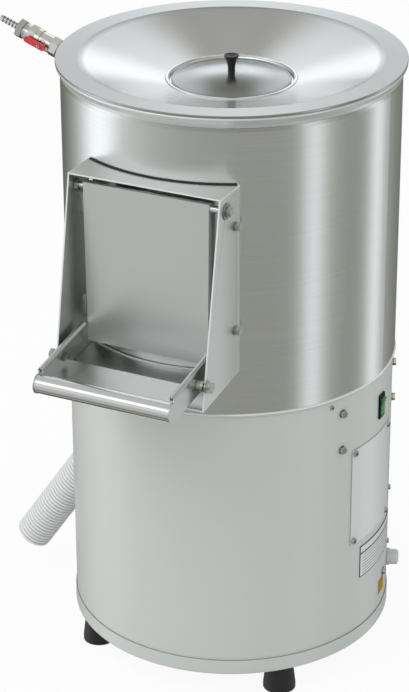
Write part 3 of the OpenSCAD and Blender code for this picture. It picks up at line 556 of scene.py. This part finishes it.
# what polished and brushed metal mirrors, in belts from the floor up to the ceiling
FLOOR_BELT = [(-180, 0.2), (-160, 0.17), (-140, 0.12), (-125, 0.17), (-110, 0.32), (-100, 0.5),
              (-90, 0.88), (-82, 1.25), (-70, 1.35), (-62, 1.1), (-52, 0.68), (-40, 0.57), (-25, 0.46),
              (0, 0.37), (30, 0.33), (62, 0.33), (71, 0.36), (77, 0.8), (84, 1.1), (92, 0.58), (98, 0.4),
              (112, 0.3), (126, 0.33), (133, 0.62), (140, 1.15), (147, 0.95), (153, 0.45), (163, 0.28),
              (180, 0.2)]
SKIRTING_BELT = [(-180, 0.25), (-150, 0.2), (-120, 0.4), (-100, 0.6), (-70, 0.8), (-30, 0.7), (10, 0.6),
                 (60, 0.6), (90, 0.7), (115, 0.6), (140, 0.45), (180, 0.32)]
WALL_BELT = [(-180, 0.75), (-172, 1.1), (-160, 1.3), (-146, 1.25), (-136, 0.9), (-126, 0.55),
             (-110, 0.45), (-90, 0.55), (-60, 0.75), (-30, 0.68), (0, 0.6), (60, 0.6), (90, 0.55),
             (120, 0.45), (165, 0.5), (180, 0.75)]
PANEL_BELT = [(-180, 1.1), (-166, 1.1), (-161, 0.18), (-148, 0.18), (-143, 1.1), (-120, 0.8), (-90, 0.45),
              (-60, 1.3), (-10, 1.4), (20, 0.9), (50, 0.4), (120, 0.3), (180, 1.1)]
CEILING = 0.52

# the elevations in degrees between which one belt gives way to the next
FLOOR_EDGE = (-58, -30)
UPPER_BELTS = [((-14, -2), SKIRTING_BELT), ((2, 12), WALL_BELT), ((20, 29), PANEL_BELT)]
CEILING_EDGE = (41, 52)
# the floor's belt is multiplied by this colour under the object
UNDERFOOT = (0.3, 0.28, 0.25)

# the tints of the studio's darkest parts and of its bright ones, and the level at which a part is bright
DARK_TINT = (0.995, 1.0, 0.89)
BRIGHT_TINT = (0.965, 1.0, 1.05)
BRIGHT_LEVEL = 1.1

# the floor plane's size, height and colour, and the share of pure white in what the camera sees of it
FLOOR_SIZE = 30
FLOOR_LEVEL = -0.2 * MM
FLOOR_COLOUR = (0.9, 0.9, 0.9, 1)
FLOOR_GLOW = 0.93
WHITE = (1, 1, 1, 1)

# the key lamp, as seen from the point that it is aimed at
KEY_AIM = Vector((0, 0, 0.4))
KEY_AZIMUTH = math.radians(-35)
KEY_ELEVATION = math.radians(50)
KEY_DISTANCE = 3.0
KEY_SIZE = 1.6
KEY_WATTS = 26

# The camera, solved from the drum's and the funnel's rims. It is turned round the drum's axis, then looks
# down and aside from that axis.
CAMERA_TURN = math.radians(25.6)
CAMERA_DISTANCE = 2.7313
CAMERA_HEIGHT = 1.7037
CAMERA_DOWN = math.radians(25.8)
CAMERA_ASIDE = -0.0121
CAMERA_ROLL = math.radians(-0.287)
CAMERA_LENS = 128.5


def tone(level):
    """The studio's colour at a level: dark parts are slightly warm, and bright ones slightly cool."""
    dark = max(0.0, min(1.0, BRIGHT_LEVEL - level))
    return tuple(level * (b + (d - b) * dark) for b, d in zip(BRIGHT_TINT, DARK_TINT))


def studio_world():
    """A pale studio: glossy rays meet its belts, dull ones an even light, and the camera's meet white."""
    world = bpy.data.worlds.new("studio")
    world.use_nodes = True
    bpy.context.scene.world = world
    tree = Tree(world.node_tree)
    x, y, z = tree.add("SeparateXYZ", Vector=tree.add("TexCoord").outputs["Generated"]).outputs
    azimuth = tree.math("ARCTAN2", x, tree.math("MULTIPLY", y, -1.0))
    turn = tree.math("ADD", tree.math("DIVIDE", azimuth, 2 * math.pi), 0.5)

    def belt(levels):
        return tree.ramp(turn, [((angle + 180) / 360, tone(level)) for angle, level in levels])

    def step(edge, below, above):
        """The colour below the edge and the one above it, changing softly between its two elevations."""
        low, high = (math.sin(math.radians(elevation)) for elevation in edge)
        share = tree.add("MapRange", {"interpolation_type": "SMOOTHSTEP"}, in0=z, in1=low, in2=high)
        return tree.mix(share.outputs[0], below, above)

    floor = belt(FLOOR_BELT)
    colour = step(FLOOR_EDGE, tree.times(floor, UNDERFOOT), floor)
    for edge, levels in UPPER_BELTS:
        colour = step(edge, colour, belt(levels))
    colour = step(CEILING_EDGE, colour, tone(CEILING))
    mirrored = tree.add("Background", Color=colour, Strength=1.0)
    even = tree.add("Background", Color=belt(EVEN_BELT), Strength=1.0)
    white = tree.add("Background", Color=WHITE, Strength=1.0)
    path = tree.add("LightPath")
    direct = tree.math("MAXIMUM", path.outputs["Is Camera Ray"], path.outputs["Is Transmission Ray"])
    glossy = path.outputs["Is Glossy Ray"]
    lit = tree.add("MixShader", in0=glossy, in1=even.outputs[0], in2=mirrored.outputs[0])
    both = tree.add("MixShader", in0=direct, in1=lit.outputs[0], in2=white.outputs[0])
    tree.output(both, "OutputWorld")


def studio_floor():
    """A floor that is white to the camera but for the object's shadow, and clear to glossy rays."""
    bpy.ops.mesh.primitive_plane_add(size=FLOOR_SIZE, location=(0, 0, FLOOR_LEVEL))
    floor = bpy.context.object
    floor.name = "floor"
    material, tree = new_material("floor_white")
    lit = tree.add("BsdfDiffuse", Color=FLOOR_COLOUR)
    glow = tree.add("Emission", Color=WHITE, Strength=1.0)
    clear = tree.add("BsdfTransparent")
    path = tree.add("LightPath")
    shown = tree.math("MULTIPLY", path.outputs["Is Camera Ray"], FLOOR_GLOW)
    seen = tree.add("MixShader", in0=shown, in1=lit.outputs[0], in2=glow.outputs[0])
    glossy = path.outputs["Is Glossy Ray"]
    tree.output(tree.add("MixShader", in0=glossy, in1=seen.outputs[0], in2=clear.outputs[0]))
    floor.data.materials.append(material)


def key_light():
    """A soft square lamp up on the left, which no reflection shows."""
    reach = math.cos(KEY_ELEVATION)
    back = Vector((math.sin(KEY_AZIMUTH) * reach, -math.cos(KEY_AZIMUTH) * reach, math.sin(KEY_ELEVATION)))
    light = bpy.data.lights.new("key", "AREA")
    light.size = KEY_SIZE
    light.energy = KEY_WATTS
    lamp = bpy.data.objects.new("key", light)
    bpy.context.scene.collection.objects.link(lamp)
    lamp.location = KEY_AIM + back * KEY_DISTANCE
    lamp.rotation_mode = "QUATERNION"
    lamp.rotation_quaternion = (-back).to_track_quat("-Z", "Y")
    lamp.visible_glossy = False


def photo_camera():
    """The camera that took the photo, as solved."""
    forward = Vector((math.sin(CAMERA_ASIDE) * math.cos(CAMERA_DOWN),
                      math.cos(CAMERA_ASIDE) * math.cos(CAMERA_DOWN), -math.sin(CAMERA_DOWN)))
    side = Vector((math.cos(CAMERA_ASIDE), -math.sin(CAMERA_ASIDE), 0))
    up = side.cross(forward)
    right = side * math.cos(CAMERA_ROLL) + up * math.sin(CAMERA_ROLL)
    top = up * math.cos(CAMERA_ROLL) - side * math.sin(CAMERA_ROLL)
    turn = Matrix.Rotation(CAMERA_TURN, 3, "Z")
    axes = Matrix((turn @ right, turn @ top, -(turn @ forward))).transposed()
    lens = bpy.data.cameras.new("camera")
    lens.lens = CAMERA_LENS
    camera = bpy.data.objects.new("camera", lens)
    bpy.context.scene.collection.objects.link(camera)
    camera.location = turn @ Vector((0, -CAMERA_DISTANCE, CAMERA_HEIGHT))
    camera.rotation_mode = "QUATERNION"
    camera.rotation_quaternion = axes.to_quaternion()
    bpy.context.scene.camera = camera


photo_camera()
studio_world()
studio_floor()
key_light()

bpy.context.scene.view_settings.view_transform = "Standard"
